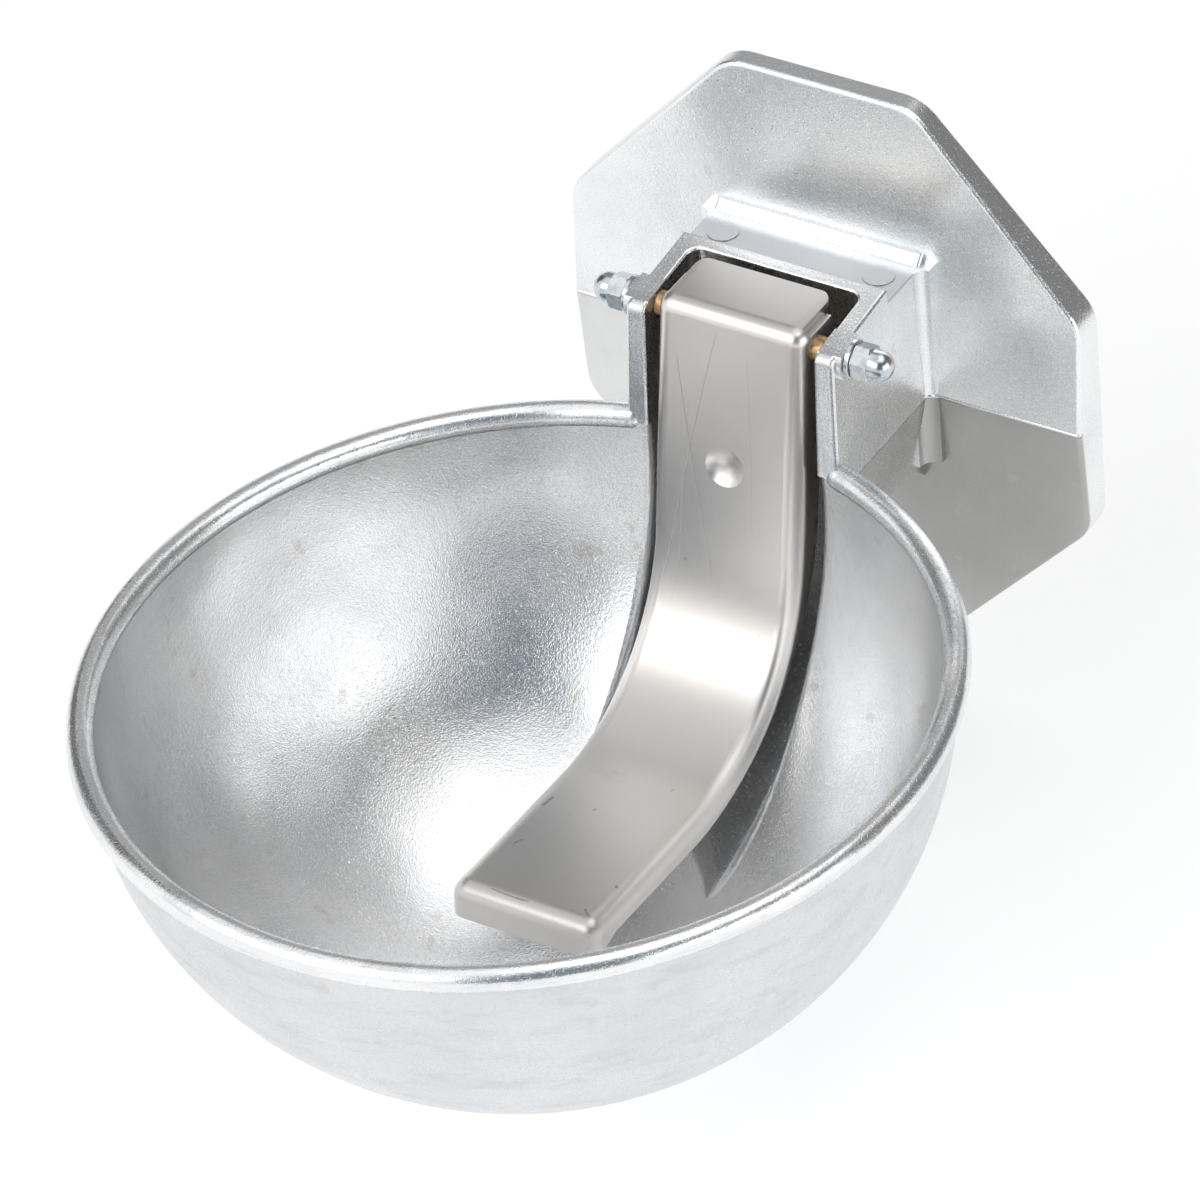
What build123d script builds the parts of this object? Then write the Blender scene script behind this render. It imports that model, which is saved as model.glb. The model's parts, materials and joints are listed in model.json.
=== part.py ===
"""Wall-mounted livestock drinking bowl: cast bowl, valve housing and octagonal wall plate in one casting,
with a pressed sheet tongue that swings on an axle and pushes a spring-loaded water valve.

Frame: origin in the middle of the wall plate's back face, +Z up, +Y into the wall, the bowl on the -Y side.
Sizes are millimetres.
"""

from build123d import *
from math import cos, radians, sin, sqrt, tan
import os

# ---------------------------------------------------------------- bowl
rim_to_wall = 191.0          # middle of the rim to the wall face
rim_height = 5.0             # middle of the rim bead above the middle of the wall plate
bowl_half_width = 124.0      # to the middle of the rim bead, across X
bowl_elongation = 1.052      # the bowl is this much longer along Y than it is wide
bowl_depth = 124.0           # rim bead's middle to the lowest outside point
rim_wall = 3.2               # wall thickness under the bead
floor_wall = 6.0             # wall thickness at the lowest point
floor_set_back = 9.0         # the lowest point lies this far behind the middle of the rim
bead_radius = 4.0

# ---------------------------------------------------------------- wall plate
plate_width = 173.0
plate_height = 194.0
plate_top_width = 63.0
plate_side_height = 75.0
plate_depth = 13.5           # at the crease, half way up
plate_draft = 4.0            # both halves of the front lean back from the crease, degrees
plate_skin = 4.5
plate_border = 7.0           # width of the rim that meets the wall
plate_corner_radius = 14.0
plate_front_round = 1.4

# ---------------------------------------------------------------- fixing bosses
fixing_spacing_x = 124.0
fixing_spacing_z = 56.0
fixing_hole_radius = 3.4     # tapping size for M8
fixing_hole_depth = 8.5
fixing_boss_radius = 8.5

# ---------------------------------------------------------------- valve housing
housing_half_width = 35.8    # at the crease height
housing_draft_up = 1.2       # the cheeks lean in above the crease, degrees
housing_draft_down = 6.5     # and more below it
cheek_wall = 7.2
channel_half_width = housing_half_width - cheek_wall
channel_corner_radius = 4.0
channel_mouth_round = 3.5    # where the channel's sides come out through the inside of the bowl
cheek_front = -65.6          # front face of the cheeks
cheek_front_lean = 2.8       # the front face runs forward as it goes down to the rim
cheek_front_height = 46.4    # top edge at the front
cheek_front_round = 3.0
cheek_edge_round = 1.4       # outer edges along the cheeks' tops and fronts
cheek_inner_round = 1.0      # and their edges to the channel
rear_wall_front = -36.0      # inside face of the rear wall
rear_wall = 4.2
rear_wall_height = 50.0      # top edge at the rear wall
shelf_height = 46.2
shelf_rib_height = 2.8
shelf_rib_slope = 3.4
shelf_rib_round = 1.0        # along the rib's front edge and round its ends
underside_height = -24.2
underside_round = 7.0        # between the underside and the channel's outer wall
underside_gusset = 8.0       # slanted web between the underside and the plate
channel_radius = 130.0       # sweep of the channel's floor behind the tongue
channel_centre_height = 24.0
channel_floor_wall = 5.5
fillet_upper = 3.2           # cheek to plate above the crease
fillet_lower = 5.0           # and below it
ejector_mark_radius = 4.9    # flat round marks on the shelf
ejector_mark_height = 0.3
ejector_mark_y = -22.4
ejector_mark_inset = 9.4     # from the housing's side to a mark's middle

# ---------------------------------------------------------------- tongue
sheet = 2.0
tongue_side_gap = 3.6        # to each side of the channel
tongue_half_width = channel_half_width - tongue_side_gap
tongue_bend_radius = 5.2     # outside radius of the long bends
face_flange = 12.5           # depth of the side flanges behind the face
paddle_flange = 8.0          # and under the paddle
flange_sweep_radius = 80.0   # the flange narrows at the elbow
tongue_top_height = 51.7     # top of the flap
tongue_top_front = -64.9     # where flap and face would meet
tongue_lean = 9.2            # the face leans forward as it goes down, degrees
tongue_sweep_radius = 57.0
tongue_elbow_height = -76.0  # where face and paddle would meet
tongue_paddle_rise = 3.0     # the paddle rises towards its tip, degrees
tongue_tip = -201.0
tongue_lip = 11.0
tongue_lip_radius = 6.0
tongue_top_radius = 5.0
flap_length = 22.9
flap_side_step = 2.6         # the flap is narrower than the tongue by this much at each side
flap_half_width = tongue_half_width - flap_side_step
flap_corner_radius = 4.0
ear_rear = -47.6             # rear edge of the ears that carry the axle
ear_bottom_height = 31.0
ear_gap = 1.4                # slot between the flap and each ear
dimple_radius = 9.7          # spherical radius of the pressed dimple, in front
dimple_depth = 2.5

# ---------------------------------------------------------------- axle
axle_y = -57.0
axle_z = 42.8
axle_radius = 3.0
running_gap = 0.05
cheek_hole_gap = 0.15
axle_boss_radius = 7.0
axle_boss_height = 0.8       # the bosses stand out of the cheeks by this much
axle_boss_face = housing_half_width + axle_boss_height
bush_barrel_radius = 3.6
bush_collar_radius = 4.0
bush_end_gap = 0.3
washer_radius = 6.0
washer_thickness = 1.6
nut_across_flats = 10.0
nut_hex_height = 5.5
nut_height = 12.0

# ---------------------------------------------------------------- water valve
valve_z = 3.0
valve_boss_radius = 16.5
valve_spot_face = -38.0      # front face of the boss, where the seal washer sits
inlet_radius = 9.3           # minor radius of a G 1/2 thread
inlet_depth = 16.0
passage_radius = 8.6
valve_thread_radius = 10.25
fit_gap = 0.02               # between pieces that are screwed or pressed together
shank_length = 18.0          # screwed into the casting, behind the seal washer
thread_run_out = 2.0         # the tapped hole is this much deeper than the shank
seal_thickness = 1.5
seal_radius = 14.6
valve_hex = 27.0
valve_hex_height = 6.5
barrel_radius = 10.5
barrel_length = 10.0
chamber_radius = 8.0         # rear chamber, with disc and spring
front_chamber_radius = 5.6
bonnet_thread_radius = 7.0
bonnet_thread_length = 5.0
bonnet_hex = 18.0
bonnet_hex_height = 4.5
stem_radius = 2.5
stem_end_radius = 1.5        # thinner end that carries disc, carrier and nut
push_cap_radius = 5.5
push_cap_length = 3.2
cap_gap = 0.15               # between tongue and cap with the tongue at rest
seat_bore = 4.3
seat_radius = 7.0
seat_thickness = 3.0
seat_lip = 0.8
seat_lip_radius = 5.0
disc_radius = 6.2
disc_thickness = 2.4
disc_gap = 0.02              # between disc and seat lip with the valve closed
carrier_radius = 6.4
carrier_thickness = 1.6
disc_nut_flats = 5.5
disc_nut_height = 2.4
spring_mean_radius = 5.2
spring_wire = 0.9
spring_turns = 3.5
strainer_thickness = 0.8
strainer_set_in = 2.2        # from the shank's rear end to the strainer's rear face
circlip_thickness = 1.0
circlip_groove = 0.7
outlet_radius = 2.2
outlet_set_back = 6.2        # from the barrel's front face to the outlet's middle
o_ring_wire = 0.85           # section radius of the bonnet's O-ring
stem_ring_wire = 0.8


def block(low, high):
    """A box from its lowest to its highest corner."""
    size = [h - l for l, h in zip(low, high)]
    return Pos(*low) * Box(*size, align=(Align.MIN, Align.MIN, Align.MIN))


def along_x(radius, x_from, x_to, y, z):
    """A round bar along X."""
    bar = Cylinder(radius, x_to - x_from, align=(Align.CENTER, Align.CENTER, Align.MIN))
    return Pos(x_from, y, z) * Rot(0, 90, 0) * bar


def along_y(radius, y_from, y_to, x=0.0, z=valve_z):
    """A round bar along Y, on the valve's axis unless it is placed elsewhere."""
    bar = Cylinder(radius, y_to - y_from, align=(Align.CENTER, Align.CENTER, Align.MIN))
    return Pos(x, y_from, z) * Rot(-90, 0, 0) * bar


def hex_along_y(across_flats, y_from, y_to, z=valve_z):
    outline = RegularPolygon(across_flats / 2, 6, major_radius=False)
    return Pos(0, y_from, z) * Rot(-90, 0, 0) * extrude(outline, y_to - y_from)


def side_profile(wire_or_points, half_width):
    """A solid of the given YZ outline, from -half_width to +half_width across X."""
    outline = make_face(wire_or_points)
    return extrude(outline, half_width, both=True)


def yz(y, z):
    return Vector(0, y, z)


# ================================================================ casting


def bowl_body(half_width, depth, set_back):
    """Lower half of an ellipsoid whose lowest point is moved back towards the wall."""
    quarter = Plane.XZ * make_face(
        Curve() + [
            EllipticalCenterArc((0, 0), half_width, depth, -90, arc_size=90),
            Line((half_width, 0), (0, 0)),
            Line((0, 0), (0, -depth)),
        ]
    )
    dome = revolve(quarter, Axis.Z)
    lean = -set_back / depth
    dome = dome.transform_geometry(Matrix([[1, 0, 0, 0], [0, bowl_elongation, lean, 0], [0, 0, 1, 0]]))
    return Pos(0, -rim_to_wall, rim_height) * dome


def rim_bead():
    """Round bead along the bowl's elliptical edge, which ends in the cheeks with round ends."""
    path = Pos(0, -rim_to_wall, rim_height) * Ellipse(bowl_half_width, bowl_half_width * bowl_elongation)
    path = path.face().outer_wire()
    start = path @ 0
    section = Plane(origin=start, x_dir=(0, 0, 1), z_dir=path % 0) * Circle(bead_radius)
    bead = sweep(section, path=path)
    end_x = housing_half_width - 0.5
    behind = block((-end_x, -rim_to_wall, -50), (end_x, 0, 60))
    bead = bead - behind
    end_y = bead_y(end_x)
    for side in (-1, 1):
        bead += Pos(side * end_x, end_y, rim_height) * Sphere(bead_radius)
    return bead


def bead_y(x):
    """Y of the bead's middle behind the bowl, at a given X."""
    return -rim_to_wall + bowl_elongation * sqrt(bowl_half_width**2 - x**2)


def plate_outline(inset=0.0):
    """Octagon of the wall plate in XZ, as a sketch whose normal is -Y."""
    half_width = plate_width / 2
    half_height = plate_height / 2
    half_top = plate_top_width / 2
    half_side = plate_side_height / 2
    corners = [
        (half_top, half_height), (half_width, half_side), (half_width, -half_side), (half_top, -half_height),
        (-half_top, -half_height), (-half_width, -half_side), (-half_width, half_side), (-half_top, half_height),
    ]
    outline = make_face(Polyline(*corners, close=True))
    outline = fillet(outline.vertices(), plate_corner_radius)
    if inset:
        outline = offset(outline, -inset)
    return Plane.XZ * outline


def roof_wedge(depth, half_width=plate_width):
    """Everything behind a front that is creased at Z = 0 and leans back above and below it."""
    reach = plate_height
    lean_back = reach * tan(radians(plate_draft))
    points = [yz(-depth, 0), yz(-depth + lean_back, reach), yz(reach, reach), yz(reach, -reach),
              yz(-depth + lean_back, -reach)]
    return side_profile(Polyline(*points, close=True), half_width)


def wall_plate():
    slab = extrude(plate_outline(), plate_depth * 2)
    plate = slab & roof_wedge(plate_depth)
    front = [e for e in plate.edges() if e.center().Y < -1 and abs(e.bounding_box().max.Y) > 1]
    front = [e for e in front if on_plate_edge(e)]
    return fillet(front, plate_front_round)


def on_plate_edge(edge):
    """True for the edges between the plate's front and its sides, not for those along Y or the crease."""
    size = edge.bounding_box().size
    along_depth = size.Y > max(size.X, size.Z)
    is_crease = size.X > plate_width * 0.9
    return not (along_depth or is_crease)


def plate_pocket():
    """The hollow back of the plate, which leaves a skin behind the front and a border at the wall."""
    return extrude(plate_outline(plate_border), plate_depth * 2) & roof_wedge(plate_depth - plate_skin)


def fixing_places():
    return [(sx * fixing_spacing_x / 2, sz * fixing_spacing_z / 2) for sx in (-1, 1) for sz in (-1, 1)]


def fixing_bosses():
    bosses = Part()
    for x, z in fixing_places():
        bosses += along_y(fixing_boss_radius, -plate_depth, 0, x, z)
    return bosses & roof_wedge(plate_depth - plate_skin / 2)


def fixing_holes():
    holes = Part()
    for x, z in fixing_places():
        holes += along_y(fixing_hole_radius, -fixing_hole_depth, 1, x, z)
    return holes


def channel_centre():
    return yz(rear_wall_front - channel_radius, channel_centre_height)


def housing_side():
    """Outline of the housing seen from the side, as a sketch in YZ, before the channel is cut into it."""
    centre = channel_centre()
    outer = channel_radius + channel_floor_wall
    rear_back = rear_wall_front + rear_wall
    plate_middle = -plate_depth / 2
    corner_y = centre.Y + sqrt(outer**2 - (centre.Z - underside_height) ** 2)
    upper = make_face(Polyline(
        (plate_middle, underside_height), (plate_middle, shelf_height), (rear_back, shelf_height),
        (rear_back, rear_wall_height), (cheek_front, cheek_front_height),
        (cheek_front - cheek_front_lean, rim_height), (centre.Y, rim_height), (centre.Y, underside_height),
        close=True))
    sweep_disc = Pos(centre.Y, centre.Z) * Circle(outer)
    window = Pos(centre.Y, rim_height) * Rectangle(outer * 1.2, outer * 1.2, align=(Align.MIN, Align.MAX))
    side = upper + (sweep_disc & window)
    side = fillet(nearest_vertex(side, corner_y, underside_height), underside_round)
    gusset_y = -plate_depth + 1.0
    side += make_face(Polyline(
        (plate_middle, underside_height + 1), (gusset_y - underside_gusset, underside_height + 1),
        (gusset_y - underside_gusset, underside_height), (gusset_y, underside_height - underside_gusset),
        (plate_middle, underside_height - underside_gusset), close=True))
    side = fillet(nearest_vertex(side, cheek_front, cheek_front_height), cheek_front_round)
    return Plane.YZ * side


def nearest_vertex(sketch, x, y):
    return min(sketch.vertices(), key=lambda v: (v.X - x) ** 2 + (v.Y - y) ** 2)


def housing_block():
    """The solid housing: its cheeks lean in above and below the crease."""
    body = extrude(housing_side(), housing_half_width * 1.2, both=True)
    body = body & draft_wedge()
    return fillet(cheek_outer_edges(body), cheek_edge_round)


def cheek_outer_edges(body):
    """The edges between the cheeks' outer sides and their tops and fronts, down to the rim."""
    rear = rear_wall_front + rear_wall
    found = []
    for edge in body.edges():
        middle = edge @ 0.5
        on_top = middle.Z > cheek_front_height - cheek_front_round and middle.Y < rear - 0.1
        on_front = middle.Y < cheek_front + 0.1 and middle.Z > rim_height + 1
        if abs(middle.X) > 1 and (on_top or on_front):
            found.append(edge)
    return found


def draft_wedge():
    """A prism along Y that is widest at Z = 0 and narrows upwards and downwards."""
    up = 70.0
    down = 125.0
    top = housing_half_width - up * tan(radians(housing_draft_up))
    low_turn = 40.0
    low = housing_half_width - low_turn * tan(radians(housing_draft_down))
    points = [(housing_half_width, 0), (top, up), (-top, up), (-housing_half_width, 0), (-low, -low_turn),
              (-low, -down), (low, -down), (low, -low_turn)]
    outline = Plane.XZ * make_face(Polyline(*points, close=True))
    return extrude(outline, rim_to_wall)


def channel_cutter():
    """The slot that the tongue lies in: between the cheeks above, sunk into the bowl's floor below."""
    centre = channel_centre()
    front = yz(centre.Y, centre.Z - channel_radius)
    middle_turn = radians(45)
    middle = yz(centre.Y + channel_radius * cos(middle_turn), centre.Z - channel_radius * sin(middle_turn))
    rear = yz(rear_wall_front, centre.Z)
    top = rear_wall_height + 20
    lines = Polyline(rear, yz(rear_wall_front, top), yz(centre.Y, top), front)
    outline = make_face(Curve() + [lines, ThreePointArc(front, middle, rear)])
    cutter = extrude(outline, channel_half_width, both=True)
    long_edges = [e for e in cutter.edges() if is_floor_edge(e)]
    return fillet(long_edges, channel_corner_radius)


def is_floor_edge(edge):
    """True for the channel's edges between its floor or rear wall and its sides."""
    size = edge.bounding_box().size
    return size.X < 0.01 and edge.center().Y > rear_wall_front - channel_radius * 0.6 and size.Z > 5


def housing_chamber():
    """The cored space behind the rear wall, open at the back of the plate."""
    half = channel_half_width - 1.0
    low = underside_height + 6.0
    high = shelf_height - 5.0
    return block((-half, rear_wall_front + rear_wall, low), (half, 1, high))


def channel_mouth_edges(casting):
    """The curved edges between the channel's sides and the inside of the bowl."""
    found = []
    for edge in casting.edges().filter_by(GeomType.BSPLINE):
        middle = edge @ 0.5
        if abs(abs(middle.X) - channel_half_width) < 0.01 and middle.Z < 0:
            found.append(edge)
    return found


def cheek_inner_edges(casting):
    """The edges between the channel and the tops and fronts of the cheeks and the rear wall."""
    top_slope = (rear_wall_height - cheek_front_height) / (rear_wall_front + rear_wall - cheek_front)
    found = []
    for edge in casting.edges():
        middle = edge @ 0.5
        if abs(middle.X) > channel_half_width + 0.01 or middle.Y > rear_wall_front + 0.01:
            continue
        top = cheek_front_height + (middle.Y - cheek_front) * top_slope
        on_top = abs(middle.Z - top) < 0.05
        on_front = middle.Z > rim_height + 1 and middle.Y < cheek_front + cheek_front_round
        if on_top or on_front:
            found.append(edge)
    return found


def ejector_marks():
    """Flat round marks on the shelf, left by the pins that pushed the casting out of its mould."""
    marks = Part()
    x = housing_half_width - ejector_mark_inset
    for side in (-1, 1):
        base = Pos(side * x, ejector_mark_y, shelf_height - 1)
        marks += base * Cylinder(
            ejector_mark_radius, 1 + ejector_mark_height, align=(Align.CENTER, Align.CENTER, Align.MIN))
    return marks


def shelf_rib():
    """The step that ties the shelf to the plate."""
    plate_face = -plate_depth + shelf_height * tan(radians(plate_draft))
    foot = plate_face - shelf_rib_slope
    top = shelf_height + shelf_rib_height
    points = [yz(foot, shelf_height - 1), yz(foot, shelf_height), yz(plate_face - 0.6, top),
              yz(plate_face + 3, top + 0.8), yz(plate_face + 3, shelf_height - 1)]
    half = housing_half_width - 1.0
    rib = extrude(make_face(Polyline(*points, close=True)), half, both=True)
    front_top = [e for e in rib.edges() if abs(e.center().Z - top) < 0.01 and e.center().Y < plate_face]
    ends = [e for e in rib.edges() if e.bounding_box().size.X < 0.01 and e.center().Z > shelf_height + 0.1
            and e.center().Y < plate_face]
    return fillet(front_top + ends, shelf_rib_round)


def corner_fillet(radius, z_low, z_high, side, x_at):
    """A concave fillet along Z between a cheek and the plate's front."""
    depth = plate_depth + 0.5
    square = block((x_at - 2 if side > 0 else -x_at - radius, -depth - radius, z_low),
                   (x_at + radius if side > 0 else -x_at + 2, -plate_depth / 2, z_high))
    bar = Pos(side * (x_at + radius), -depth - radius, z_low) * Cylinder(
        radius, z_high - z_low, align=(Align.CENTER, Align.CENTER, Align.MIN))
    return square - bar


def cheek_fillets():
    parts = Part()
    upper_x = housing_half_width - shelf_height / 2 * tan(radians(housing_draft_up))
    lower_x = housing_half_width + underside_height / 2 * tan(radians(housing_draft_down))
    for side in (-1, 1):
        parts += corner_fillet(fillet_upper, 0, shelf_height, side, upper_x)
        parts += corner_fillet(fillet_lower, underside_height, 0, side, lower_x)
    return parts


def bowl_casting():
    outer = bowl_body(bowl_half_width, bowl_depth, floor_set_back)
    casting = outer + housing_block() + wall_plate() + shelf_rib() + ejector_marks() + cheek_fillets()
    inner_half = bowl_half_width - rim_wall
    inner_depth = bowl_depth - floor_wall
    inner = bowl_body(inner_half, inner_depth, floor_set_back * inner_depth / bowl_depth)
    casting -= inner
    casting -= channel_cutter()
    casting = fillet(channel_mouth_edges(casting), channel_mouth_round)
    casting = fillet(cheek_inner_edges(casting), cheek_inner_round)
    casting += rim_bead()
    casting -= plate_pocket()
    casting -= housing_chamber()
    casting += fixing_bosses()
    casting += along_y(valve_boss_radius, valve_spot_face, 0)
    casting -= along_y(valve_boss_radius + 1, valve_spot_face - 12, valve_spot_face)
    cheek_side = extrude(housing_side(), axle_boss_face + 1, both=True)
    for x_from, x_to in ((-axle_boss_face, -channel_half_width), (channel_half_width, axle_boss_face)):
        casting += along_x(axle_boss_radius, x_from, x_to, axle_y, axle_z) & cheek_side
    casting -= along_x(axle_radius + cheek_hole_gap, -axle_boss_face - 5, axle_boss_face + 5, axle_y, axle_z)
    casting -= fixing_holes()
    casting -= along_y(inlet_radius, -inlet_depth, 1)
    casting -= along_y(passage_radius, valve_spot_face, -inlet_depth)
    tapped_end = valve_spot_face + shank_length + thread_run_out
    casting -= along_y(valve_thread_radius + fit_gap, valve_spot_face - 1, tapped_end)
    return casting


# ================================================================ tongue


def tongue_corners():
    """Corners of the tongue's outer line in YZ, from the back of the flap down to the end of the lip."""
    lean = tan(radians(tongue_lean))
    elbow_y = tongue_top_front - (tongue_top_height - tongue_elbow_height) * lean
    tip_z = tongue_elbow_height + (elbow_y - tongue_tip) * tan(radians(tongue_paddle_rise))
    return [(tongue_top_front + flap_length, tongue_top_height), (tongue_top_front, tongue_top_height),
            (elbow_y, tongue_elbow_height), (tongue_tip, tip_z), (tongue_tip - 0.8, tip_z - tongue_lip)]


def meet(a, b):
    """The point where two lines cross, each given as a point and a direction in YZ."""
    (ay, az), (ady, adz) = a
    (by, bz), (bdy, bdz) = b
    t = ((by - ay) * bdz - (bz - az) * bdy) / (ady * bdz - adz * bdy)
    return (ay + t * ady, az + t * adz)


def line_behind(start, end, distance):
    """The line through two points, moved to the tongue's rear side by a distance."""
    dy = end[0] - start[0]
    dz = end[1] - start[1]
    length = sqrt(dy**2 + dz**2)
    return (start[0] - distance * dz / length, start[1] + distance * dy / length), (dy / length, dz / length)


def front_line():
    """The outer surface of the tongue's web, seen from the side."""
    return FilletPolyline(*tongue_corners(), radius=[tongue_top_radius, tongue_sweep_radius, tongue_lip_radius])


def rear_line():
    """The rear surface of the web, carried on past the flap and the lip."""
    corners = tongue_corners()
    lines = [line_behind(a, b, sheet) for a, b in zip(corners, corners[1:])]
    bends = [meet(a, b) for a, b in zip(lines, lines[1:])]
    start = (0, corners[0][1] - sheet)
    (lip_y, lip_z), (lip_dy, lip_dz) = lines[-1]
    end = (lip_y + lip_dy * 30, lip_z + lip_dz * 30)
    return FilletPolyline(
        start, *bends, end,
        radius=[tongue_top_radius - sheet, tongue_sweep_radius + sheet, tongue_lip_radius - sheet])


def tongue_outside():
    """The tongue's outline with the hollow back filled in: web in front, the flanges' free edges behind."""
    flap_rear, top, elbow, tip, lip_end = tongue_corners()
    face_edge = line_behind(top, elbow, face_flange)
    paddle_edge = line_behind(elbow, tip, paddle_flange)
    lip_edge = line_behind(tip, lip_end, paddle_flange * 1.5)
    edge_elbow = meet(face_edge, paddle_edge)
    edge_lip = meet(paddle_edge, lip_edge)
    ear_foot = meet(face_edge, ((0, ear_bottom_height - 8), (1, 0)))
    back = FilletPolyline(
        lip_end, (lip_end[0] + 2 * sheet, lip_end[1]), edge_lip, edge_elbow, ear_foot,
        (ear_rear, ear_bottom_height), (ear_rear, flap_rear[1] - sheet), (flap_rear[0], flap_rear[1] - sheet),
        flap_rear,
        radius=[1.0, 2.0, flange_sweep_radius, 6, 3, 0, 0])
    return make_face(Curve() + [front_line(), back])


def tongue_inside():
    """Everything behind the tongue's web, as an outline in YZ."""
    line = rear_line()
    start = line @ 0
    end = line @ 1
    return make_face(Curve() + [line, Polyline((end.X, end.Y), (0, end.Y), (start.X, start.Y))])


def edges_along(solid, line, half_width):
    """The solid's edges that follow a YZ line on both of its sides."""
    found = []
    for edge in solid.edges():
        middle = edge @ 0.5
        off_line = line.distance_to(Vertex(middle.Y, middle.Z, 0))
        if off_line < 0.01 and abs(abs(middle.X) - half_width) < 0.01:
            found.append(edge)
    return found


def dimple_centre():
    """Middle of the dimple's sphere, in front of the face, at the height of the valve."""
    lean = radians(tongue_lean)
    reach = dimple_radius - dimple_depth
    face_z = valve_z - reach * sin(lean)
    face_y = tongue_top_front - (tongue_top_height - face_z) * tan(lean)
    return face_y - reach * cos(lean), valve_z


def nub_tip():
    """The rearmost point of the dimple, which pushes the valve."""
    return dimple_centre()[0] + dimple_radius + sheet


def tongue():
    outer = extrude(Plane.YZ * tongue_outside(), tongue_half_width, both=True)
    outer = fillet(edges_along(outer, front_line(), tongue_half_width), tongue_bend_radius)
    inner_half = tongue_half_width - sheet
    inner = extrude(Plane.YZ * tongue_inside(), inner_half, both=True)
    inner = fillet(edges_along(inner, rear_line(), inner_half), tongue_bend_radius - sheet)
    shell = outer - inner
    slot_low = tongue_top_height - sheet - ear_gap
    slot_front = tongue_top_front + tongue_top_radius
    for x_from, x_to in ((-40, -flap_half_width), (flap_half_width, 40)):
        shell -= block((x_from, slot_front, slot_low), (x_to, 0, tongue_top_height + 5))
    rear = tongue_top_front + flap_length
    corners = [e for e in shell.edges().filter_by(Axis.Z) if abs(e.center().Y - rear) < 0.1]
    shell = fillet(corners, flap_corner_radius)
    y, z = dimple_centre()
    ball = Pos(0, y, z) * Sphere(dimple_radius + sheet)
    wedge = extrude(Plane.YZ * tongue_inside(), inner_half, both=True)
    shell += ball & wedge
    shell -= Pos(0, y, z) * Sphere(dimple_radius)
    shell -= along_x(bush_barrel_radius + fit_gap, -40, 40, axle_y, axle_z)
    return shell


# ================================================================ axle


def axle_reach():
    """X of the outer faces of the washers."""
    return axle_boss_face + washer_thickness


def tongue_axle():
    end = axle_reach() + nut_hex_height + 3.0
    rod = along_x(axle_radius, -end, end, axle_y, axle_z)
    ends = [e for e in rod.edges() if abs(abs(e.center().X) - end) < 0.01]
    return chamfer(ends, 0.8)


def bush(side):
    """Collared bush: its barrel sits in the tongue's ear, the collar keeps the tongue off the cheek."""
    inner_face = tongue_half_width - sheet - 1.0
    collar_face = tongue_half_width
    outer_face = channel_half_width - bush_end_gap
    parts = along_x(bush_barrel_radius, inner_face, collar_face + 0.5, axle_y, axle_z)
    parts += along_x(bush_collar_radius, collar_face, outer_face, axle_y, axle_z)
    parts -= along_x(axle_radius + running_gap, 0, 60, axle_y, axle_z)
    middle_radius = (axle_radius + bush_collar_radius) / 2
    rims = [e for e in parts.edges() if abs(e.center().X - outer_face) < 0.01 and e.radius > middle_radius]
    parts = chamfer(rims, 0.4)
    return parts if side > 0 else mirror(parts, Plane.YZ)


def washer(side):
    ring = along_x(washer_radius, axle_boss_face, axle_reach(), axle_y, axle_z)
    ring -= along_x(axle_radius + 0.2, 0, 60, axle_y, axle_z)
    outer = [e for e in ring.edges().filter_by(GeomType.CIRCLE) if e.radius > axle_radius + 1]
    ring = chamfer(outer, 0.25)
    return ring if side > 0 else mirror(ring, Plane.YZ)


def acorn_nut(side):
    """Domed cap nut: hexagon with chamfered corners, dome, blind hole."""
    base = axle_reach()
    corner_radius = nut_across_flats / sqrt(3)
    hexagon = RegularPolygon(nut_across_flats / 2, 6, major_radius=False)
    body = extrude(hexagon, nut_hex_height)
    dome_radius = nut_across_flats / 2 - 0.25
    neck = nut_height - dome_radius
    turned = make_face(Curve() + [
        Polyline((0, 0), (nut_across_flats / 2 * 0.97, 0), (corner_radius, 0.45), (corner_radius, nut_hex_height - 0.5),
                 (nut_across_flats / 2 * 0.97, nut_hex_height)),
        Line((nut_across_flats / 2 * 0.97, nut_hex_height), (0, nut_hex_height)),
        Line((0, nut_hex_height), (0, 0)),
    ])
    body = body & revolve(Plane.XZ * turned, Axis.Z)
    body += Cylinder(dome_radius, neck, align=(Align.CENTER, Align.CENTER, Align.MIN))
    body += Pos(0, 0, neck) * Sphere(dome_radius)
    body -= Cylinder(axle_radius + fit_gap, nut_hex_height + 3.6, align=(Align.CENTER, Align.CENTER, Align.MIN))
    body -= Cone(axle_radius + 0.5, axle_radius + fit_gap, 0.5, align=(Align.CENTER, Align.CENTER, Align.MIN))
    nut = Pos(base, axle_y, axle_z) * Rot(0, 90, 0) * Rot(0, 0, 8) * body
    return nut if side > 0 else mirror(nut, Plane.YZ)


# ================================================================ water valve


def valve_faces():
    """Y of the valve's faces, from the casting forwards."""
    seal_front = valve_spot_face - seal_thickness
    hex_front = seal_front - valve_hex_height
    barrel_front = hex_front - barrel_length
    bonnet_front = barrel_front - bonnet_hex_height
    return seal_front, hex_front, barrel_front, bonnet_front


def shank_rear():
    return valve_spot_face + shank_length


def seat_face():
    """Y of the shoulder that the valve seat rests on."""
    return valve_faces()[0] - 0.5


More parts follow.
